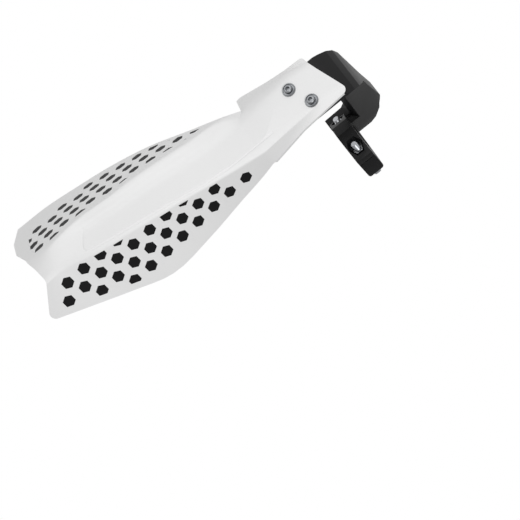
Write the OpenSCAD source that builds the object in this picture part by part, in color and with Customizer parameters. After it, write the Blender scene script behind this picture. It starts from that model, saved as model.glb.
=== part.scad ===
// Motorcycle hand guard for the right grip: a perforated plastic shield, a bent plastic arm
// and a two-piece bar clamp with its fasteners.
// Units are millimetres. The origin is the centre of the bar clamp's bore.
// X points outboard, Y forward along the clamp bolts, and Z up.

/* [Bar clamp] */
// Diameter of the handlebar that the clamp takes
bar_d = 28.6; // [22:0.1:32]
// Width of the clamp along the bar
clamp_width = 17; // [14:0.5:30]
// Distance between the two clamp bolts
bolt_span = 40; // [38:0.5:52]
// Material beyond each bolt, up and down
clamp_end = 10.7; // [9:0.1:16]
// Gap at the split, when the bolts are tight
split_gap = 0.6; // [0.2:0.1:2]
// Wall of the cap over the bar
cap_wall = 9.4; // [5:0.1:14]
// Height of the cap's flat crown
crown_height = 12; // [6:1:18]
// Height between the creases where the cap's slanted ends start
crease_span = 34.8; // [24:0.1:40]
// Drop from the crown to those creases
crease_drop = 6.7; // [3:0.1:9]
// Thickness of the cap at its two tips
tip_thickness = 6; // [2:0.1:8]
// Wall behind the bar, from the bore to the arm's rear face
rear_wall = 9; // [4:0.1:12]

/* [Clamp fasteners] */
// Thread diameter of the clamp bolts
bolt_d = 6; // [5:0.5:8]
// Play between a bolt and its hole
bolt_play = 0.4; // [0.2:0.1:0.8]
// Depth of a nut's seat in front of the split
nut_seat = 5; // [3.5:0.1:8]
// Bolt end beyond the nut
bolt_tail = 8; // [2:0.5:12]
// Thickness of a washer
washer_t = 1.6; // [1:0.1:3]
// Room for a socket round each nut, each side
pocket_room = 1.8; // [0.5:0.1:3]

/* [Arm] */
// Dip of the arm towards the front
arm_pitch = 18.4; // [10:0.1:25]
// Height of the arm's outer rim above the bar's centre
arm_top = 36; // [34:0.5:44]
// Distance from the bar's centre to the pad that carries the shield
pad_reach = 113.3; // [105:0.1:130]
// Width of the arm's long leg
leg_width = 29; // [22:0.5:36]
// Height of one of the ridges' three steps
step_height = 1.1; // [0.5:0.1:2]
// Depth of the pad below the arm's outer rim
pad_depth = 49; // [44:0.5:56]

/* [Shield] */
// Wall of the shield's plate and flute
shield_wall = 3; // [2:0.1:4]
// Wall of the perforated wings, which the backing doubles
wing_wall = 1; // [0.8:0.1:2]
// Width across the flats of a hexagonal hole
hole_flats = 10.2; // [6:0.1:13]
// Distance between the holes of the upper wing
upper_pitch = 18; // [16:0.1:22]
// Distance between the holes along the lower wing
lower_pitch = 19; // [17:0.1:22]
// Plain border round the upper wing's holes
border = 5; // [3:0.1:10]
// Thickness of the black backing sheets
backing_t = 1.8; // [0.8:0.1:3]
// Gap between the shield and its backing
backing_gap = 0.1; // [0.1:0.05:0.5]

/* [Shield fasteners] */
// Diameter of the shield screws
screw_d = 6; // [4:0.5:7]
// Play between a screw and its hole
screw_play = 0.4; // [0.2:0.1:0.8]
// Outer diameter of a cup washer
cup_d = 12.6; // [11:0.1:15]
// Thickness of a cup washer
cup_t = 2.2; // [1.5:0.1:4]
// Material between the pad's face and a screw's nut
screw_grip = 14; // [8:0.5:18]

/* [Hidden] */
$fn = 64;
far = 200;
eps = 0.02;

// Sizes that follow from the ones above
bar_r = bar_d / 2;
bolt_z = bolt_span / 2;
clamp_half = bolt_z + clamp_end;
crown_y = bar_r + cap_wall;
crease_y = crown_y - crease_drop;
rear_y = -bar_r - rear_wall;
nut_flats = bolt_d * 5 / 3;
nut_t = bolt_d * 5 / 6;
screw_nut_flats = screw_d * 5 / 3;
screw_nut_t = screw_d * 5 / 6;
plate_u = pad_reach + shield_wall;
pad_bottom = arm_top - pad_depth;
ridge_top = arm_top + 3 * step_height;

// Places of the two shield screws on the pad: outboard of the clamp, and below the arm's top
screw_places = [[8.8, arm_top - 14.7], [-1.6, arm_top - 37.1]];

// Where the arm and the shield sit against the clamp's centre
arm_set = [2.7, 0.4, 1];

// Turns a point of the pitched arm's own frame (outboard, forward, up) into the part's frame
function on_arm(p) = arm_set + [p.x, p.y * cos(arm_pitch) + p.z * sin(arm_pitch),
                                p.z * cos(arm_pitch) - p.y * sin(arm_pitch)];
module on_arm() { translate(arm_set) rotate([-arm_pitch, 0, 0]) children(); }

// The shield is a loft. Seven curves run along its front: the rear edge, the fold below it,
// the crest, the valley under the crest, the flute's lower edge, the rib and the lower edge.
// Over the pad the stations are set in the arm's frame, from the plate's face and the arm's top.
function pad_station(x, back, rise) =
    [for (k = [0:6]) on_arm([x[k], plate_u - back[k], arm_top + rise[k]])];
inboard_station = pad_station([-17, -19, -20.2, -21.5, -30, -31.3, -33],
                              [4.6, 2.6, 2.6, 2.6, 2.6, 2.6, 4.6],
                              [5.4, -4.5, -8.6, -13, -38.7, -42.8, -48.4]);
crease_station = pad_station([3, 2, 1.5, 0.5, -8, -9, -11],
                             [11.3, 1.8, 0, 0, 0, 0, 4],
                             [10, 0, -6, -12, -38.4, -42, -50.3]);
pad_end_station = pad_station([22, 22, 22, 22, 22, 22, 20],
                              [19.5, 5.3, 0, 0, 0, 0, 8.1],
                              [16.8, 3, -5.2, -12, -40.5, -45.2, -50.6]);

// Beyond the pad each curve is a row of points measured from arm_set, from the fin outboard
wing_rows = [
    // rear edge: the fin's tip, the notch, then the upper wing
    [[55.6, 101, 35.4], [54, 116, 2.7], [70, 125.2, 1.8], [99.5, 124.7, 15.4], [146, 118.5, 43],
     [187, 116.8, 57], [225, 118.5, 62.5], [256, 121.6, 64], [289, 128.5, 57]],
    // fold
    [[46, 116, 5], [57, 117.8, -2.5], [71, 126.8, -1], [107, 134.8, -2.2], [150, 142, -1.8],
     [190, 151, -10], [226, 158.6, -15.5], [252, 164, -24], [283, 159.5, -20]],
    // crest
    [[47, 118, -5], [58, 118.7, -6], [72, 127.5, -5], [109, 142.5, -13], [150, 152, -16],
     [190, 158.5, -19.8], [226, 163.2, -22.8], [254, 165.5, -29.5], [280, 160, -29]],
    // valley
    [[49, 118.5, -13], [59, 119.4, -13], [73.5, 122.5, -15], [109, 130.5, -19.5], [150, 140, -23],
     [190, 147.5, -25.5], [225, 154.5, -27], [255, 163.5, -34], [278, 159.6, -36]],
    // lower edge of the flute
    [[56, 113, -47], [62, 113.8, -47.3], [76, 116.5, -48], [110, 124.5, -48.8], [150, 134.8, -49.8],
     [190, 142.5, -50], [228, 149.8, -48.5], [259, 156.5, -47], [275, 157, -50]],
    // rib
    [[57, 110.5, -51], [63, 111.2, -51.2], [77, 113.8, -51.5], [110.5, 121.5, -52.3], [150, 131.5, -53.3],
     [190, 139.5, -53.6], [230, 147, -52.5], [260.5, 153.6, -50.5], [275.5, 155.5, -53.5]],
    // lower edge
    [[55.8, 92.7, -51], [60, 92.5, -51.3], [73, 89, -52], [100, 85.5, -55], [145, 83, -64],
     [189, 86, -73], [225, 100, -72], [256, 113, -70], [297, 129, -66]]];

rows = [for (k = [0:6]) concat([inboard_station[k], crease_station[k], pad_end_station[k]],
                                   [for (p = wing_rows[k]) p + arm_set])];
notch = 4;
last = len(rows[0]) - 1;

// How far each row's wall leans from straight back, beyond the pad
wall_lean = [26, 26, 0, -17, -30, -45, -68];
// Length of the round at each row, and the number of steps that draw it
round_length = [0, 4, 6, 8, 1.6, 1.6, 0];
round_steps = [0, 3, 4, 4, 2, 2, 0];
// Steps from one station of the wings to the next
wing_steps = 4;
// Outward bow of the outboard edge
end_bow = 8;

// Smooth curve through the stations of a row; straight up to the notch
function slope(a, b, c) =
    let (before = norm(b - a), after = norm(c - b))
    ((b - a) / before * after + (c - b) / after * before) / (before + after);
function hermite(a, b, slope_a, slope_b, t) =
    let (span = norm(b - a))
    a * (1 + 2 * t) * (1 - t) ^ 2 + b * t ^ 2 * (3 - 2 * t)
    + (slope_a * t * (1 - t) ^ 2 - slope_b * t ^ 2 * (1 - t)) * span;
function unit(v) = v / norm(v);
function along(row, s) =
    let (i = min(floor(s), last - 1), t = s - i, a = row[i], b = row[i + 1])
    i < notch ? a + (b - a) * t :
    hermite(a, b, i == notch ? unit(b - a) : slope(row[i - 1], a, b),
            i == last - 1 ? unit(b - a) : slope(a, b, row[i + 2]), t);

// Seven points across the shield at station s, then the same with each corner rounded
function across(s) = [for (k = [0:6]) along(rows[k], s)];
function lean(k, s, side = 0) =
    s < notch ? -arm_pitch : k == 0 || k == 6 ? wall_lean[k] : (wall_lean[k] + wall_lean[k + side]) / 2;
function inward(angle) = [0, -cos(angle), -sin(angle)];
function wall(s, on_wing) = on_wing && s >= notch + 1 ? wing_wall : shield_wall;
function rounded(p, k, s) =
    k == 0 || k == 6 ? [[p[k], inward(lean(k, s)), wall(s, true)]] :
    let (reach = min(round_length[k], norm(p[k - 1] - p[k]) / 2.2, norm(p[k + 1] - p[k]) / 2.2),
         a = p[k] + unit(p[k - 1] - p[k]) * reach,
         b = p[k] + unit(p[k + 1] - p[k]) * reach)
    [for (j = [0:round_steps[k]]) let (t = j / round_steps[k])
        [a * (1 - t) ^ 2 + p[k] * 2 * t * (1 - t) + b * t ^ 2,
         inward(lean(k, s, -1) * (1 - t) + lean(k, s, 1) * t),
         wall(s, k == 1 && j == 0 || k == 5 && j == round_steps[k])]];
function middle(a, b, t) = [for (j = [0:2]) a[j] + (b[j] - a[j]) * t];
// The upper wing gets two extra points, so that its outboard end can bow
function section(s) =
    let (p = across(s), r = [for (k = [0:6]) rounded(p, k, s)],
         bow_out = s > last - 1 ? [end_bow * (s - last + 1), 0, 0] : [0, 0, 0],
         upper = [for (t = [1/3, 2/3]) middle(r[0][0], r[1][0], t) + [bow_out, [0, 0, 0], 0]])
    concat(r[0], upper, [for (k = [1:6]) each r[k]]);

// A closed skin over a list of sections, between a depth behind the front and a depth or each
// point's own wall
function skin_points(sections, from, to) =
    concat([for (c = sections) for (q = c) q[0] + q[1] * from],
           [for (c = sections) for (q = c) q[0] + q[1] * (is_undef(to) ? q[2] : to)]);
function quad(a, b, c, d) = [[a, b, c], [a, c, d]];
function skin_faces(n, m) =
    let (at = function (side, i, j) (side * n + i) * m + j)
    concat(
        [for (i = [0:n - 2]) for (j = [0:m - 2]) each
            concat(quad(at(0, i, j), at(0, i, j + 1), at(0, i + 1, j + 1), at(0, i + 1, j)),
                   quad(at(1, i, j), at(1, i + 1, j), at(1, i + 1, j + 1), at(1, i, j + 1)))],
        [for (i = [0:n - 2]) each
            concat(quad(at(0, i, 0), at(0, i + 1, 0), at(1, i + 1, 0), at(1, i, 0)),
                   quad(at(0, i, m - 1), at(1, i, m - 1), at(1, i + 1, m - 1), at(0, i + 1, m - 1)))],
        [for (j = [0:m - 2]) each
            concat(quad(at(0, 0, j), at(1, 0, j), at(1, 0, j + 1), at(0, 0, j + 1)),
                   quad(at(0, n - 1, j), at(0, n - 1, j + 1), at(1, n - 1, j + 1), at(1, n - 1, j)))]);
module skin(sections, from = 0, to = undef) {
    polyhedron(skin_points(sections, from, to), skin_faces(len(sections), len(sections[0])), convexity = 12);
}

wing_stations = [for (s = [notch:1 / wing_steps:last]) s];
shield_sections = [for (s = concat([0, 1, 2, 3], wing_stations)) section(s)];

// Frame of the upper wing's holes: its origin from arm_set and its turn about X, Y and Z
upper_origin = [97.4, 128.7, 10.5];
upper_turn = [116.6, -10.9, 2.5];
// Rows of upper holes: the row, its first and its last hole, in half pitches
upper_rows = [[-4, 16, 18], [-3, 9, 19], [-2, 6, 20], [-1, 1, 19], [0, 0, 16], [1, 3, 13], [2, 6, 8]];
// Frame of the lower wing's holes, and its rows: the row, its first and its last hole
lower_origin = [272.2, 131, -63.9];
lower_turn = [19.4, 5.8, 1.2];
lower_rows = [[1, 0, 3], [0, 0, 7], [-1, 2, 9], [-2, 4, 11]];
// Spacing and offset of the lower rows, as shares of the pitch
lower_row_gap = 0.695;
lower_row_shift = 0.56;
// Length of the tools that cut the holes
cut_length = 30;

// Looks straight at a wing: a point's place in the plane of that wing's holes
function spin_x(p, a) = [p.x, p.y * cos(a) - p.z * sin(a), p.y * sin(a) + p.z * cos(a)];
function spin_y(p, a) = [p.x * cos(a) + p.z * sin(a), p.y, p.z * cos(a) - p.x * sin(a)];
function spin_z(p, a) = [p.x * cos(a) - p.y * sin(a), p.x * sin(a) + p.y * cos(a), p.z];
function laid_flat(p, origin, turn) =
    let (q = spin_x(spin_y(spin_z(p - origin - arm_set, -turn.z), -turn.y), -turn.x)) [q.x, q.y];
function inset(a, b, gap) = a + unit(b - a) * gap;

// Outline of the field that holes may fill on a strip of points, with a gap to each long side
function field(strip, origin, turn, gap_first, gap_last) =
    concat([for (c = strip) laid_flat(inset(c[0][0], c[len(c) - 1][0], gap_first), origin, turn)],
           [for (i = [len(strip) - 1:-1:0]) let (c = strip[i])
               laid_flat(inset(c[len(c) - 1][0], c[0][0], gap_last), origin, turn)]);

function stations(from, to) = [for (s = [from:1 / wing_steps:to]) section(s)];
upper_wing = [for (c = stations(notch + 1.5, last - 1 / wing_steps)) [c[0], c[1], c[2], c[3]]];
lower_wing = [for (c = stations(notch + 1, last - 1 / wing_steps)) let (m = len(c)) [c[m - 2], c[m - 1]]];

module hexagon(flats) { circle(r = flats / 2 / cos(30), $fn = 6); }

// Prisms through the upper and the lower wing's holes, clipped by the wing's plain border
module upper_holes() {
    translate(arm_set + upper_origin) rotate(upper_turn) translate([0, 0, -cut_length / 2])
        linear_extrude(cut_length) intersection() {
            union() {
                for (row = upper_rows)
                    for (i = [row[1]:2:row[2]])
                        translate([i / 2, row[0] * sin(60)] * upper_pitch)
                            rotate(30) hexagon(hole_flats);
            }
            polygon(field(upper_wing, upper_origin, upper_turn, border, 1));
        }
}

module lower_holes() {
    translate(arm_set + lower_origin) rotate(lower_turn) translate([0, 0, -cut_length / 2])
        linear_extrude(cut_length) intersection() {
            union() {
                for (row = lower_rows)
                    for (i = [row[1]:row[2]])
                        translate([-i - row[0] * lower_row_shift, row[0] * lower_row_gap] * lower_pitch)
                            rotate(30) hexagon(hole_flats);
            }
            polygon(field(lower_wing, lower_origin, lower_turn, 0.5, border * 1.4));
        }
}

// Puts its children on a screw's axis, with Z forward along it and zero at the plate's face
module at_screws() {
    on_arm()
        for (p = screw_places)
            translate([p[0], plate_u, p[1]]) rotate([-90, 0, 0]) children();
}

module shield() {
    color("white")
    difference() {
        skin(shield_sections);
        upper_holes();
        lower_holes();
        at_screws() translate([0, 0, -far / 4]) cylinder(d = screw_d + screw_play, h = far / 2);
    }
}

// Backing sheets: a strip behind each perforated wing, set in from the wing's edges
function drawn_in(c, gap) =
    let (centre = middle(c[0], c[len(c) - 1], 0.5), share = 2 * gap / norm(c[0][0] - c[len(c) - 1][0]))
    [for (q = c) middle(q, centre, share)];

module backing() {
    color("black")
    for (wing = [upper_wing, lower_wing])
        skin([for (c = wing) drawn_in(c, border / 2)], wing_wall + backing_gap, wing_wall + backing_gap + backing_t);
}

// Plan of the arm in its own frame: the clamp's end, the rear corner, the long leg and the pad
leg_outer = -leg_width - 18;
arm_plan = [[5, -31.7], [-26, -31.5], [-33, -28.5], [-41, -19.8], [leg_outer, -5.8], [leg_outer - 2, 0],
            [leg_outer, 29], [leg_outer + 2.6, pad_reach - 27], [leg_outer + 5, pad_reach - 17],
            [leg_outer + 10, pad_reach - 10.5], [-30, pad_reach - 6.5], [-24, pad_reach - 4.2],
            [-16, pad_reach - 3], [2.5, pad_reach], [20.5, pad_reach], [26, pad_reach - 23],
            [17, pad_reach - 25], [-11, pad_reach - 41], [-14.7, pad_reach - 45],
            [-17, pad_reach - 49.5], [-18, 33], [-16.5, -4], [-12, -9], [8, -10]];
// The arm from the side: the top, the pad's face, the ramp under the long leg and the rear end
arm_side = [[-32, ridge_top], [pad_reach - 9, ridge_top], [pad_reach - 4.5, arm_top],
            [pad_reach, arm_top - 7.5], [pad_reach, pad_bottom + 8], [pad_reach - 6, pad_bottom + 0.6],
            [pad_reach - 9, pad_bottom], [pad_reach - 65, arm_top - 19], [-14, arm_top - 16],
            [-32, arm_top - 18]];
// Lower inner edge of the long leg, cut away at a slant
leg_chamfer = [[-15, arm_top - 9], [-28, arm_top - 24], [-28, -far], [far, -far], [far, arm_top - 9]];
// Inner line of each ridge step, from the clamp's end round to the pad
ridge_lines = [
    [[9, -19], [-20, -18.5], [-26, -12], [-28.5, 0], [-27.8, pad_reach - 73], [-24.7, pad_reach - 34],
     [-22, pad_reach - 25], [-16, pad_reach - 22], [27, pad_reach - 19]],
    [[9, -23.5], [-22, -23], [-31, -16], [-35, -2], [-34, pad_reach - 46], [-32, pad_reach - 28],
     [-29, pad_reach - 20], [-20, pad_reach - 15], [27, pad_reach - 15]],
    [[9, -27.5], [-24, -27], [-36, -18], [-42, -3], [-41, pad_reach - 46], [-38, pad_reach - 24],
     [-34, pad_reach - 14], [-24, pad_reach - 9.5], [27, pad_reach - 9.5]]];

// Prism along X over an outline given as forward and up
module side_prism(outline, x0, x1) {
    translate([x0, 0, 0]) rotate([90, 0, 90]) linear_extrude(x1 - x0) polygon(outline);
}

module ridge_cut(line, drop) {
    outside = [[27, far], [-far, far], [-far, -far], [9, -far]];
    translate([0, 0, ridge_top - drop]) linear_extrude(far) polygon(concat(line, outside));
}

module clamp_bore() { translate([-far / 2, 0, 0]) rotate([0, 90, 0]) cylinder(d = bar_d, h = far, $fn = 128); }
module bolt_holes() {
    for (side = [-1, 1])
        translate([0, -far / 2, side * bolt_z]) rotate([-90, 0, 0]) cylinder(d = bolt_d + bolt_play, h = far);
}

// Prism along the arm over an outline given as outboard and up
module front_prism(outline, u0, u1) {
    translate([0, u1, 0]) rotate([90, 0, 0]) linear_extrude(u1 - u0) polygon(outline);
}

// The arm without its clamp, in its own frame
module arm_body() {
    difference() {
        intersection() {
            translate([0, 0, -far / 2]) linear_extrude(far) polygon(arm_plan);
            side_prism(arm_side, -far, far);
        }
        front_prism(leg_chamfer, -10, pad_reach - 46);
        for (k = [0:2]) ridge_cut(ridge_lines[k], step_height * (k + 1));
    }
}

// Rear half of the clamp, moulded with the arm
module clamp_rear() {
    side_prism([[-split_gap / 2, -clamp_half], [-split_gap / 2, clamp_half - 1.5], [rear_y, clamp_half - 1.5],
                [rear_y, -clamp_half + 3], [rear_y + 3, -clamp_half]], -clamp_width / 2, clamp_width / 2);
}

module arm() {
    color([0.15, 0.15, 0.16])
    difference() {
        union() {
            on_arm() arm_body();
            clamp_rear();
        }
        clamp_bore();
        bolt_holes();
        // room for the cap in front of the split
        translate([-clamp_width / 2 - 1, 0, -clamp_half - 1]) cube([clamp_width + 2, crown_y, 2 * clamp_half + 2]);
        at_screws() {
            translate([0, 0, -far / 2]) cylinder(d = screw_d + screw_play, h = far);
            translate([0, 0, -far - shield_wall - screw_grip]) linear_extrude(far) hexagon(screw_nut_flats + screw_play);
        }
    }
}

// Front half of the clamp, with a pocket for each nut in its slanted ends
module clamp_cap() {
    color([0.15, 0.15, 0.16])
    difference() {
        side_prism([for (side = [1, -1]) each
                    side > 0 ? [[split_gap / 2, clamp_half], [tip_thickness, clamp_half],
                                [crease_y, crease_span / 2], [crown_y, crown_height / 2]]
                             : [[crown_y, -crown_height / 2], [crease_y, -crease_span / 2],
                                [tip_thickness, -clamp_half], [split_gap / 2, -clamp_half]]],
                   -clamp_width / 2, clamp_width / 2);
        clamp_bore();
        bolt_holes();
        for (side = [-1, 1])
            translate([0, nut_seat, side * bolt_z]) rotate([-90, 0, 0]) linear_extrude(far)
                hexagon(nut_flats + 2 * pocket_room);
    }
}

// Plain bolt: hexagonal head behind zero, shank in front of it
module bolt(d, length) {
    translate([0, 0, -d * 2 / 3]) linear_extrude(d * 2 / 3) hexagon(d * 5 / 3);
    translate([0, 0, -eps]) cylinder(d = d, h = length + eps - d / 12);
    translate([0, 0, length - d / 12]) cylinder(d1 = d, d2 = d * 5 / 6, h = d / 12);
}
module ring(outer, inner, t) {
    difference() {
        cylinder(d = outer, h = t);
        translate([0, 0, -1]) cylinder(d = inner, h = t + 2);
    }
}
module nut(d, t) {
    difference() {
        linear_extrude(t) hexagon(d * 5 / 3);
        translate([0, 0, -1]) cylinder(d = d + 0.1, h = t + 2);
    }
}
module at_bolts(y) { for (side = [-1, 1]) translate([0, y, side * bolt_z]) rotate([-90, 0, 0]) children(); }

module clamp_bolts() {
    color([0.8, 0.8, 0.82])
    at_bolts(rear_y - washer_t) bolt(bolt_d, nut_seat + nut_t + bolt_tail - rear_y + washer_t);
}
module clamp_washers() {
    color([0.75, 0.75, 0.77])
    at_bolts(rear_y - washer_t) ring(bolt_d * 2, bolt_d + bolt_play, washer_t);
}
module clamp_nuts() {
    color([0.85, 0.85, 0.87])
    at_bolts(nut_seat) nut(bolt_d, nut_t);
}

// Socket-head screw from the shield's face into the nut inside the pad
module shield_screws() {
    color([0.3, 0.3, 0.32])
    at_screws() difference() {
        union() {
            translate([0, 0, cup_t]) cylinder(d = screw_d * 1.6, h = screw_d / 3);
            translate([0, 0, -shield_wall - screw_grip - screw_nut_t - 1])
                cylinder(d = screw_d, h = shield_wall + screw_grip + screw_nut_t + 1 + cup_t + eps);
        }
        translate([0, 0, cup_t + screw_d / 12]) linear_extrude(far) hexagon(screw_d * 2 / 3);
    }
}
module screw_cups() {
    color([0.12, 0.12, 0.12])
    at_screws() difference() {
        union() {
            cylinder(d = cup_d, h = cup_t / 2);
            translate([0, 0, cup_t / 2]) cylinder(d1 = cup_d, d2 = cup_d - cup_t, h = cup_t / 2);
        }
        translate([0, 0, -1]) cylinder(d = screw_d + screw_play, h = cup_t + 2);
    }
}
module screw_nuts() {
    color([0.75, 0.75, 0.77])
    at_screws() translate([0, 0, -shield_wall - screw_grip - screw_nut_t]) nut(screw_d, screw_nut_t);
}

shield();
backing();
arm();
clamp_cap();
clamp_bolts();
clamp_washers();
clamp_nuts();
shield_screws();
screw_cups();
screw_nuts();
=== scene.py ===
import bmesh
import bpy
import math
from mathutils import Matrix, Vector
from mathutils.bvhtree import BVHTree


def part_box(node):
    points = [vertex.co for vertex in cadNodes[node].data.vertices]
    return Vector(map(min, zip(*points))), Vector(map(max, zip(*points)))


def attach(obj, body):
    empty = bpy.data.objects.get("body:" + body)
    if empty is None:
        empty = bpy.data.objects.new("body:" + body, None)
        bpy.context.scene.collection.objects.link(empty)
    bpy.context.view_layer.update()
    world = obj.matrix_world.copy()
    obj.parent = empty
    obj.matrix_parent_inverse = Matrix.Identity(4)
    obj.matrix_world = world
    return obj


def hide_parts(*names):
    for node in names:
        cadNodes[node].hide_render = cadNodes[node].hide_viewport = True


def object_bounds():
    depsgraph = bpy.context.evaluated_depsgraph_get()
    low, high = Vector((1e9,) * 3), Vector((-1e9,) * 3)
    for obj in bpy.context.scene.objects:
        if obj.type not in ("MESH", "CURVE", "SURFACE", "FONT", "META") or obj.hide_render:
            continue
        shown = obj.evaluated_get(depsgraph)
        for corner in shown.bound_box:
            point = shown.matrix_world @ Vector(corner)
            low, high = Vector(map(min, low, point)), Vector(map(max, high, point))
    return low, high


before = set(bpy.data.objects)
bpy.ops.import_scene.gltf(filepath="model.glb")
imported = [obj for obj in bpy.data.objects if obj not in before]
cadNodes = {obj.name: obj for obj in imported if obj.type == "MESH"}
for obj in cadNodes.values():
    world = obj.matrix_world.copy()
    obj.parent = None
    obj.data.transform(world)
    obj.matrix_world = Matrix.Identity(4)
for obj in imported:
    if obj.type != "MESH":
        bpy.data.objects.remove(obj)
cadLow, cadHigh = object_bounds()
mm = 0.001
print("frame loaded:", len(cadNodes), "nodes")


# hex colours are sRGB, shaders take linear values
def linearColour(hexText):
    channels = [int(hexText[i:i + 2], 16) / 255 for i in (0, 2, 4)]
    return [c / 12.92 if c <= 0.04045 else ((c + 0.055) / 1.055) ** 2.4 for c in channels] + [1.0]


# adds a node, sets its properties and fills its inputs: a socket is linked, anything else is a value
def addNode(tree, kind, settings=(), inputs=()):
    made = tree.nodes.new(kind)
    for name, value in dict(settings).items():
        setattr(made, name, value)
    for name, value in dict(inputs).items():
        if isinstance(value, bpy.types.NodeSocket):
            tree.links.new(value, made.inputs[name])
        else:
            made.inputs[name].default_value = value
    return made


# a moulded or plated surface: one shader, with a fine noise bump whose grain has a real size
def surfaceMaterial(name, colour, roughness, metallic=0.0, ior=None, grainSize=None, grainDepth=0.0,
                    grainStrength=0.5, specular=0.5):
    made = bpy.data.materials.new(name)
    made.use_nodes = True
    tree = made.node_tree
    tree.nodes.clear()
    inputs = {"Base Color": linearColour(colour), "Roughness": roughness, "Metallic": metallic,
              "Specular IOR Level": specular}
    if ior:
        inputs["IOR"] = ior
    if grainSize:
        place = addNode(tree, "ShaderNodeTexCoord")
        grain = addNode(tree, "ShaderNodeTexNoise",
                        inputs={"Vector": place.outputs["Object"], "Scale": 1 / (grainSize * mm),
                                "Detail": 2.0, "Roughness": 0.5})
        bump = addNode(tree, "ShaderNodeBump",
                       inputs={"Height": grain.outputs["Fac"], "Distance": grainDepth * mm,
                               "Strength": grainStrength})
        inputs["Normal"] = bump.outputs["Normal"]
    shader = addNode(tree, "ShaderNodeBsdfPrincipled", inputs=inputs)
    addNode(tree, "ShaderNodeOutputMaterial", inputs={"Surface": shader.outputs["BSDF"]})
    return made


# moulded polypropylene: a clean white with a soft sheen and no grain to speak of
whitePolypropylene = surfaceMaterial("mouldedWhitePolypropylene", "eaeaea", 0.42, ior=1.49,
                                     grainSize=6, grainDepth=0.02, grainStrength=0.3)
# glass-filled nylon from a spark-eroded mould: near black, dull, with a fine leathery grain
blackNylon = surfaceMaterial("grainedBlackNylon", "121213", 0.5, ior=1.53,
                             grainSize=0.9, grainDepth=0.05, grainStrength=0.5, specular=0.2)
# plain black sheet behind the holes, and the same black put into the holes as painted shade: it only has to
# read as dark depth
blackSheetAndHoleShade = surfaceMaterial("blackSheetAndPaintedHoleShade", "0b0b0c", 0.6, ior=1.49, specular=0.2)
# bright zinc plate on turned steel: pale grey metal with a slightly blurred shine
zincSteel = surfaceMaterial("zincPlatedSteel", "b4b6b9", 0.34, metallic=1.0)
# stainless screws and their cups: darker than the zinc, with a little more blur
stainlessSteel = surfaceMaterial("stainlessSteel", "8f9194", 0.36, metallic=1.0)
print("materials made")


def addObject(name, data):
    made = bpy.data.objects.new(name, data)
    bpy.context.scene.collection.objects.link(made)
    return made


# turns a bmesh into a mesh and frees it
def meshFrom(name, made):
    mesh = bpy.data.meshes.new(name)
    made.to_mesh(mesh)
    made.free()
    return mesh


# a bmesh of an object as its modifiers and curve settings leave it
def evaluatedCopy(source):
    bpy.context.view_layer.update()
    result = bmesh.new()
    result.from_mesh(source.evaluated_get(bpy.context.evaluated_depsgraph_get()).to_mesh())
    return result


# a merged copy of a CAD node, whose own mesh is loose triangles
def mergedCopy(node, flatAngle=None):
    made = bmesh.new()
    made.from_mesh(cadNodes[node].data)
    bmesh.ops.remove_doubles(made, verts=made.verts, dist=0.002 * mm)
    if flatAngle is not None:
        bmesh.ops.dissolve_limit(made, angle_limit=math.radians(flatAngle), verts=made.verts,
                                 edges=made.edges, use_dissolve_boundaries=False, delimit={"NORMAL"})
    return made


# faces are smooth, and edges sharper than the angle are marked so that they stay crisp
def shadeByAngle(made, sharpAngle):
    for face in made.faces:
        face.smooth = True
    for edge in made.edges:
        edge.smooth = edge.is_manifold and edge.calc_face_angle(0) < math.radians(sharpAngle)


def bevelEdges(made, edges, width, segments, limited=True):
    bmesh.ops.bevel(made, geom=edges, offset=width, offset_type="OFFSET", segments=segments, profile=0.5,
                    affect="EDGES", clamp_overlap=limited, material=-1)


# the width is an upper limit: short edges nearby can hold all the rounds far below it
def roundEdges(made, minAngle, width, segments):
    sharp = [e for e in made.edges if e.is_manifold and e.calc_face_angle(0) > math.radians(minAngle)]
    bevelEdges(made, sharp, width, segments)


# adds the prism between an outline and the same outline moved by depth
def addPrism(made, outline, depth):
    grown = bmesh.ops.extrude_face_region(made, geom=[made.faces.new(outline)])
    bmesh.ops.translate(made, vec=depth,
                        verts=[v for v in grown["geom"] if isinstance(v, bmesh.types.BMVert)])


# cuts one bmesh with another: what the tool covers goes, or with INTERSECT is all that stays
def cutWith(body, tool, operation="DIFFERENCE"):
    parts = [addObject(name, meshFrom(name, source)) for name, source in (("body", body), ("tool", tool))]
    cut = parts[0].modifiers.new("cut", "BOOLEAN")
    cut.operation = operation
    cut.solver = "MANIFOLD"
    cut.object = parts[1]
    result = evaluatedCopy(parts[0])
    for part in parts:
        bpy.data.objects.remove(part)
    return result


# sorts items into groups that hang together, always in the same order
def looseGroups(items, neighboursOf):
    left, groups = dict.fromkeys(items), []
    while left:
        group, edge = [], [left.popitem()[0]]
        while edge:
            item = edge.pop()
            group.append(item)
            near = [n for n in dict.fromkeys(neighboursOf(item)) if n in left]
            for found in near:
                del left[found]
            edge.extend(near)
        groups.append(group)
    return groups


def finishPiece(name, made, material, replaced=()):
    mesh = meshFrom(name, made)
    mesh.materials.append(material)
    piece = addObject(name, mesh)
    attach(piece, "root")
    if replaced:
        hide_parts(*replaced)
    return piece


# the shield: each corner is (corner, a point along each of its two edges, radius), in millimetres
shieldLook = {
    "sharpAngle": 32,
    "corners": {
        "topInner": ((-14.3, 119.46, 5.03), (5.7, 114.55, 11.51), (-16.3, 118.23, -5.0), 5.0),
        "lowInner": ((-30.3, 102.48, -46.02), (-8.3, 102.44, -48.02), (-28.6, 106.14, -41.34), 4.5),
        "finTip": ((58.3, 101.4, 36.4), (24.7, 108.9, 20.6), (56.7, 116.4, 3.7), 4.5),
        "lowOuter": ((299.7, 129.4, -65.0), (258.7, 113.4, -69.0), (278.2, 155.9, -52.5), 6.0),
    },
}
# how far the corner tools reach each way, and how far they stand past the edges, in millimetres
cornerLook = {"reach": 7, "pastEdge": 1.5, "pastCorner": 3, "steps": 10, "closeEnough": 0.1}


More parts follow.
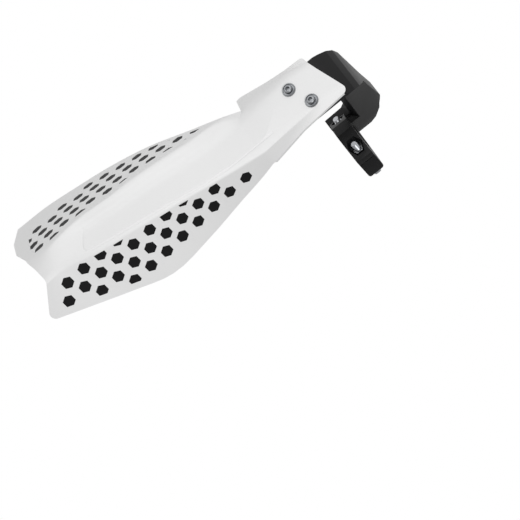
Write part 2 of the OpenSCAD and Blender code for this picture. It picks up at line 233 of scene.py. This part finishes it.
# a tool for the round of one corner: the prism between the arc and the sharp corner
def cornerTool(corner, first, second, radius):
    corner = Vector(corner)
    toFirst, toSecond = (Vector(first) - corner).normalized(), (Vector(second) - corner).normalized()
    half = toFirst.angle(toSecond) / 2
    middle = (toFirst + toSecond).normalized()
    normal = toFirst.cross(toSecond).normalized()
    centre = corner + middle * (radius / math.sin(half))
    reach = radius / math.tan(half)
    start = corner + toFirst * reach - centre
    sweep = math.pi - 2 * half
    turnedStart = Matrix.Rotation(sweep, 3, normal) @ start
    if (centre + turnedStart - corner - toSecond * reach).length > cornerLook["closeEnough"]:
        sweep = -sweep
    steps = cornerLook["steps"]
    arc = [centre + Matrix.Rotation(sweep * i / steps, 3, normal) @ start for i in range(steps + 1)]
    outside = [arc[-1] + toFirst * -cornerLook["pastEdge"], corner - middle * cornerLook["pastCorner"],
               arc[0] + toSecond * -cornerLook["pastEdge"]]
    made = bmesh.new()
    addPrism(made, [made.verts.new((point - normal * cornerLook["reach"]) * mm) for point in arc + outside],
             normal * 2 * cornerLook["reach"] * mm)
    bmesh.ops.recalc_face_normals(made, faces=made.faces)
    return made


made = mergedCopy("shield")

# each wing's holes have one axis; turns about X, Y and Z in degrees
padLook = {"upperTurn": (116.6, -10.9, 2.5), "lowerTurn": (19.4, 5.8, 1.2), "from": 65 * mm,
           "largest": 16 * mm, "squareTo": 0.03, "fewestWalls": 5, "balance": 0.15,
           "sunk": 0.12 * mm, "depth": 0.95 * mm, "play": 0.03 * mm}


# the walls of each hole are a small ring of faces that lie square to the hole's axis and face all ways
def holeRings(source, inward):
    walls = [f for f in source.faces if abs(f.normal.dot(inward)) < padLook["squareTo"]
             and f.calc_center_median().x > padLook["from"]]
    rings = []
    for ring in looseGroups(walls, lambda f: [g for e in f.edges for g in e.link_faces]):
        points = {v for f in ring for v in f.verts}
        size = max(max(v.co[k] for v in points) - min(v.co[k] for v in points) for k in range(3))
        net = sum((f.normal * f.calc_area() for f in ring), Vector())
        total = sum(f.calc_area() for f in ring)
        if (size < padLook["largest"] and len(ring) >= padLook["fewestWalls"]
                and net.length < padLook["balance"] * total):
            rings.append(ring)
    return rings


# a black pad fills each hole almost flush, from the front edge of its ring to just above the backing: painted
# shade that covers the hole's white walls, so that the hole reads as dark depth
holeShadePads = bmesh.new()
for turn in (padLook["upperTurn"], padLook["lowerTurn"]):
    spin = Matrix.Rotation(math.radians(turn[2]), 3, "Z") @ Matrix.Rotation(math.radians(turn[1]), 3, "Y")
    inward = spin @ Matrix.Rotation(math.radians(turn[0]), 3, "X") @ Vector((0, 0, 1))
    side = inward.orthogonal().normalized()
    other = inward.cross(side)
    for ring in holeRings(made, inward):
        front = {}
        for edge in (e for f in ring for e in f.edges if sum(g in ring for g in e.link_faces) == 1):
            outer = next(g for g in edge.link_faces if g not in ring)
            if outer.normal.dot(inward) < 0:
                front.update(dict.fromkeys(edge.verts))
        if len(front) < 3:
            continue
        centre = sum((v.co for v in front), Vector()) / len(front)
        order = sorted(front, key=lambda v: math.atan2((v.co - centre).dot(other),
                                                       (v.co - centre).dot(side)))
        rim = [holeShadePads.verts.new(v.co + (centre - v.co).normalized() * padLook["play"]
                              + inward * padLook["sunk"]) for v in order]
        addPrism(holeShadePads, rim, inward * (padLook["depth"] - padLook["sunk"]))
bmesh.ops.recalc_face_normals(holeShadePads, faces=holeShadePads.faces)
print("pads:", len(holeShadePads.faces))
finishPiece("paintedShadeHoleFill", holeShadePads, blackSheetAndHoleShade)

for corner in shieldLook["corners"].values():
    made = cutWith(made, cornerTool(*corner))

# the flute's floor is a shallow pocket, whose end and lower edge show as a soft line
pocketLook = {"toolRadius": 2.2, "above": 1.8, "roundSteps": 12, "lineSteps": 6, "mergeWithin": 0.005,
              "path": [(225.9, 155.3, -26.3), (230.4, 154.1, -32.2), (234.2, 153.1, -39.0),
                       (235.8, 152.0, -44.2), (234.6, 150.8, -47.2), (230.0, 149.6, -48.4),
                       (211.4, 145.8, -49.0), (181.4, 140.3, -49.5), (151.8, 134.1, -49.6),
                       (123.0, 126.4, -49.3), (92.4, 119.8, -47.2), (64.7, 115.0, -41.9),
                       (44.5, 112.9, -39.4)]}
surface = BVHTree.FromBMesh(made)
curve = bpy.data.curves.new("pocketLine", "CURVE")
curve.dimensions = "3D"
curve.bevel_depth = pocketLook["toolRadius"] * mm
curve.bevel_resolution = pocketLook["roundSteps"]
curve.use_fill_caps = True
curve.resolution_u = pocketLook["lineSteps"]
line = curve.splines.new("NURBS")
line.use_endpoint_u = True
line.order_u = 3
line.points.add(len(pocketLook["path"]) - 1)
for point, target in zip(line.points, pocketLook["path"]):
    onSurface, normal = surface.find_nearest(Vector(target) * mm)[:2]
    outwards = normal if normal.y > 0 else -normal
    point.co = (*(onSurface + outwards * pocketLook["above"] * mm), 1)
lineObject = addObject("pocketLine", curve)
groove = evaluatedCopy(lineObject)
bmesh.ops.remove_doubles(groove, verts=groove.verts, dist=pocketLook["mergeWithin"] * mm)
bmesh.ops.recalc_face_normals(groove, faces=groove.faces)
bpy.data.objects.remove(lineObject)
made = cutWith(made, groove)
print("shield faces:", len(made.faces))
shadeByAngle(made, shieldLook["sharpAngle"])
shield = finishPiece("shieldShell", made, whitePolypropylene, ["shield"])
weighted = shield.modifiers.new("evenShading", "WEIGHTED_NORMAL")
weighted.keep_sharp = True
print("shield done")

# the backing sheets, behind the wings
made = mergedCopy("backing")
shadeByAngle(made, shieldLook["sharpAngle"])
finishPiece("backingSheets", made, blackSheetAndHoleShade, ["backing"])

# the arm and the cap; the rear edges of the arm's clamp half have a larger radius
# short edges hold the other rounds to 0.06 mm on the cap and to nothing to speak of on the arm
armLook = {"flatAngle": 0.5, "edgeAngle": 18, "edgeRadius": 0.9 * mm, "edgeSegments": 3, "sharpAngle": 40,
           "clampHalf": 8.5, "rearFrom": -20.2, "within": 0.05, "rearAngle": 60, "rearRadius": 2.4 * mm,
           "rearSegments": 6}
for node, name in (("arm", "armMoulding"), ("clamp_cap", "capMoulding")):
    made = mergedCopy(node, armLook["flatAngle"])
    rear = [e for e in made.edges
            if all(abs(abs(v.co.x) / mm - armLook["clampHalf"]) < armLook["within"]
                   and v.co.y / mm < armLook["rearFrom"] for v in e.verts)
            and e.is_manifold and e.calc_face_angle(0) > math.radians(armLook["rearAngle"])]
    if rear:
        bevelEdges(made, rear, armLook["rearRadius"], armLook["rearSegments"], limited=False)
    roundEdges(made, armLook["edgeAngle"], armLook["edgeRadius"], armLook["edgeSegments"])
    shadeByAngle(made, armLook["sharpAngle"])
    finishPiece(name, made, blackNylon, [node])
print("arm and cap done")


# a turned form: an outline of (radius, height) points in millimetres, spun about an axis through place
def turned(made, outline, place, axis, steps=48, closed=False):
    side = axis.orthogonal().normalized()
    points = [made.verts.new(place + (side * radius + axis * height) * mm) for radius, height in outline]
    pairs = list(zip(points, points[1:])) + ([(points[-1], points[0])] if closed else [])
    lines = [made.edges.new(pair) for pair in pairs]
    bmesh.ops.spin(made, geom=points + lines, cent=place, axis=axis, angle=math.tau, steps=steps,
                   use_merge=True, dvec=(0, 0, 0), use_duplicate=False)
    bmesh.ops.remove_doubles(made, verts=made.verts, dist=0.004 * mm)
    bmesh.ops.recalc_face_normals(made, faces=made.faces)


# centres of the lowest circles along an axis, one for each loose part of a node
def ringCentres(node, axis):
    source = mergedCopy(node)
    centres = []
    for group in looseGroups(source.verts, lambda v: [e.other_vert(v) for e in v.link_edges]):
        low = min(v.co.dot(axis) for v in group)
        base = [v.co.copy() for v in group if v.co.dot(axis) < low + 0.01 * mm]
        centres.append(sum(base, Vector()) / len(base))
    source.free()
    return centres


# clamp bolts and nuts: the thread is drawn as rings at the real pitch, the hexagons get turned chamfers
forward = Vector((0, 1, 0))
boltLook = {"headFlat": 4.9, "corner": 6.0, "chamfer": 0.6, "thread": 3.0, "root": 2.5, "play": 0.1,
            "pitch": 1.0, "threadFrom": 8.5, "tip": 18.0, "nut": 5.0, "sharpAngle": 30, "nutSharpAngle": 25}
headStart = min(v.y for v in (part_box("clamp_bolts")[0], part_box("clamp_washers")[0])) / mm
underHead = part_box("clamp_washers")[0].y / mm
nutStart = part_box("clamp_nuts")[0].y / mm
nutEnd = nutStart + boltLook["nut"]
shank = boltLook["thread"] + boltLook["play"]
boltOutline = [(0, headStart), (boltLook["headFlat"], headStart),
               (boltLook["corner"], headStart + boltLook["chamfer"]), (boltLook["corner"], underHead),
               (shank, underHead), (shank, boltLook["threadFrom"])]
height = boltLook["threadFrom"]
while height < boltLook["tip"] - 1.2 * boltLook["pitch"]:
    boltOutline += [(boltLook["root"], height + boltLook["pitch"] / 2),
                    (boltLook["thread"], height + boltLook["pitch"])]
    height += boltLook["pitch"]
boltEnd = boltLook["tip"] - boltLook["play"]
boltOutline += [(boltLook["root"], boltEnd), (0, boltEnd)]
nutOutline = [(0, nutStart), (boltLook["headFlat"], nutStart),
              (boltLook["corner"], nutStart + boltLook["chamfer"]),
              (boltLook["corner"], nutEnd - boltLook["chamfer"]), (boltLook["headFlat"], nutEnd), (0, nutEnd)]
boltTool, nutTool = bmesh.new(), bmesh.new()
for centre in ringCentres("clamp_washers", forward):
    place = Vector((centre.x, 0, centre.z))
    turned(boltTool, boltOutline, place, forward)
    turned(nutTool, nutOutline, place, forward)
for node, name, tool, sharpAngle in (("clamp_bolts", "clampBolts", boltTool, boltLook["sharpAngle"]),
                                     ("clamp_nuts", "clampNuts", nutTool, boltLook["nutSharpAngle"])):
    made = cutWith(mergedCopy(node), tool, "INTERSECT")
    shadeByAngle(made, sharpAngle)
    finishPiece(name, made, zincSteel, [node])

# shield screws: a button head with a hexagonal socket, in a cup washer with a raised rim
armDip = math.radians(18.4)
screwAxis = Vector((0, math.cos(armDip), -math.sin(armDip)))
screwLook = {"head": [(0, -23.0), (2.7, -23.0), (3.0, -22.5), (3.0, 1.0), (4.0, 1.0), (4.0, 2.6), (3.7, 3.4),
                      (3.1, 3.9), (2.6, 4.0), (0, 4.0)],
             "cup": [(3.25, 0), (6.3, 0), (6.3, 0.6), (5.9, 1.7), (5.5, 2.15), (5.1, 2.1), (4.9, 1.0),
                     (3.25, 1.0)],
             "socketFlats": 4.0, "socketDepth": 2.6, "socketTool": 6, "sharpAngle": 40, "cupSharpAngle": 50}
heads, cups, sockets = bmesh.new(), bmesh.new(), bmesh.new()
socketRadius = screwLook["socketFlats"] / 2 / math.cos(math.pi / 6) * mm
top = screwLook["head"][-1][1] * mm
toolMiddle = top - screwLook["socketDepth"] * mm + screwLook["socketTool"] / 2 * mm
for centre in ringCentres("screw_cups", screwAxis):
    turned(heads, screwLook["head"], centre, screwAxis)
    turned(cups, screwLook["cup"], centre, screwAxis, closed=True)
    place = Matrix.Translation(centre + screwAxis * toolMiddle) \
        @ screwAxis.to_track_quat("Z", "Y").to_matrix().to_4x4()
    bmesh.ops.create_cone(sockets, cap_ends=True, segments=6, radius1=socketRadius, radius2=socketRadius,
                          depth=screwLook["socketTool"] * mm, matrix=place)
made = cutWith(heads, sockets)
shadeByAngle(made, screwLook["sharpAngle"])
finishPiece("shieldScrews", made, stainlessSteel, ["shield_screws"])
shadeByAngle(cups, screwLook["cupSharpAngle"])
finishPiece("screwCups", cups, stainlessSteel, ["screw_cups"])

# washers and the shield screws' nuts are the CAD's own forms with small rounds
ringLook = {"flatAngle": 0.5, "edgeAngle": 40, "edgeRadius": 0.2 * mm, "edgeSegments": 2, "sharpAngle": 40}
for node, name in (("clamp_washers", "clampWashers"), ("screw_nuts", "screwNuts")):
    made = mergedCopy(node, ringLook["flatAngle"])
    roundEdges(made, ringLook["edgeAngle"], ringLook["edgeRadius"], ringLook["edgeSegments"])
    shadeByAngle(made, ringLook["sharpAngle"])
    finishPiece(name, made, zincSteel, [node])
print("fasteners done")

# the camera looks up at the guard, so the floor lies far below it and the world makes the background
stageLook = {"floorBelow": 1.9, "floorSize": 12.0, "floorColour": "f4f4f4", "floorRoughness": 0.9,
             "ambient": 0.5}
floorMesh = bmesh.new()
bmesh.ops.create_grid(floorMesh, x_segments=1, y_segments=1, size=stageLook["floorSize"] / 2,
                      matrix=Matrix.Translation((0, 0, -stageLook["floorBelow"])))
floor = addObject("floor", meshFrom("floor", floorMesh))
floor.data.materials.append(surfaceMaterial("matteWhiteFloor", stageLook["floorColour"],
                                            stageLook["floorRoughness"]))

# the background is plain white, and a weaker white is what lights the guard from all round
world = bpy.data.worlds.new("softStudio")
bpy.context.scene.world = world
world.use_nodes = True
world.node_tree.nodes.clear()
paths = addNode(world.node_tree, "ShaderNodeLightPath")
clear = addNode(world.node_tree, "ShaderNodeMath", {"operation": "MAXIMUM"},
                {0: paths.outputs["Is Camera Ray"], 1: paths.outputs["Is Transmission Ray"]})
seen = addNode(world.node_tree, "ShaderNodeMath", {"operation": "MAXIMUM"},
               {0: clear.outputs["Value"], 1: paths.outputs["Is Glossy Ray"]})
whiteBack = addNode(world.node_tree, "ShaderNodeBackground", inputs={"Color": (1, 1, 1, 1), "Strength": 1.0})
ambient = addNode(world.node_tree, "ShaderNodeBackground",
                  inputs={"Color": (1, 1, 1, 1), "Strength": stageLook["ambient"]})
mixed = addNode(world.node_tree, "ShaderNodeMixShader",
                inputs={0: seen.outputs["Value"], 1: ambient.outputs["Background"],
                        2: whiteBack.outputs["Background"]})
addNode(world.node_tree, "ShaderNodeOutputWorld", inputs={"Surface": mixed.outputs["Shader"]})

# the camera is below and in front; its frame also places the lamps
cameraLook = {"place": (-0.07546, 1.10138, -1.06934), "right": (-0.77384, -0.50447, -0.38298),
              "up": (-0.61801, 0.46901, 0.63094), "lens": 112.86, "sensor": 36, "farEnd": 50}
right, up = Vector(cameraLook["right"]).normalized(), Vector(cameraLook["up"]).normalized()
back = right.cross(up).normalized()
up = back.cross(right)
cameraData = bpy.data.cameras.new("camera")
cameraData.lens = cameraLook["lens"]
cameraData.sensor_width = cameraLook["sensor"]
cameraData.clip_end = cameraLook["farEnd"]
camera = addObject("camera", cameraData)
camera.matrix_world = Matrix.Translation(cameraLook["place"]) \
    @ Matrix((right, up, back)).transposed().to_4x4()
bpy.context.scene.camera = camera

# lamps are placed from the guard's centre, along the camera's right, up and back: (place, size, watts)
lampLook = {"nearCamera": ((0.2, -0.1, 1.1), 0.7, 4.4), "front": ((-0.23, 0.6, 0.76), 0.8, 1.9)}
guardCentre = (cadLow + cadHigh) / 2
for name, (place, size, watts) in lampLook.items():
    lampData = bpy.data.lights.new(name + "Lamp", "AREA")
    lampData.shape = "DISK"
    lampData.size = size
    lampData.energy = watts
    lamp = addObject(name + "Lamp", lampData)
    lamp.location = guardCentre + right * place[0] + up * place[1] + back * place[2]
    lamp.rotation_euler = (lamp.location - guardCentre).to_track_quat("Z", "Y").to_euler()
bpy.context.scene.view_settings.view_transform = "Standard"
print("stage and camera done")
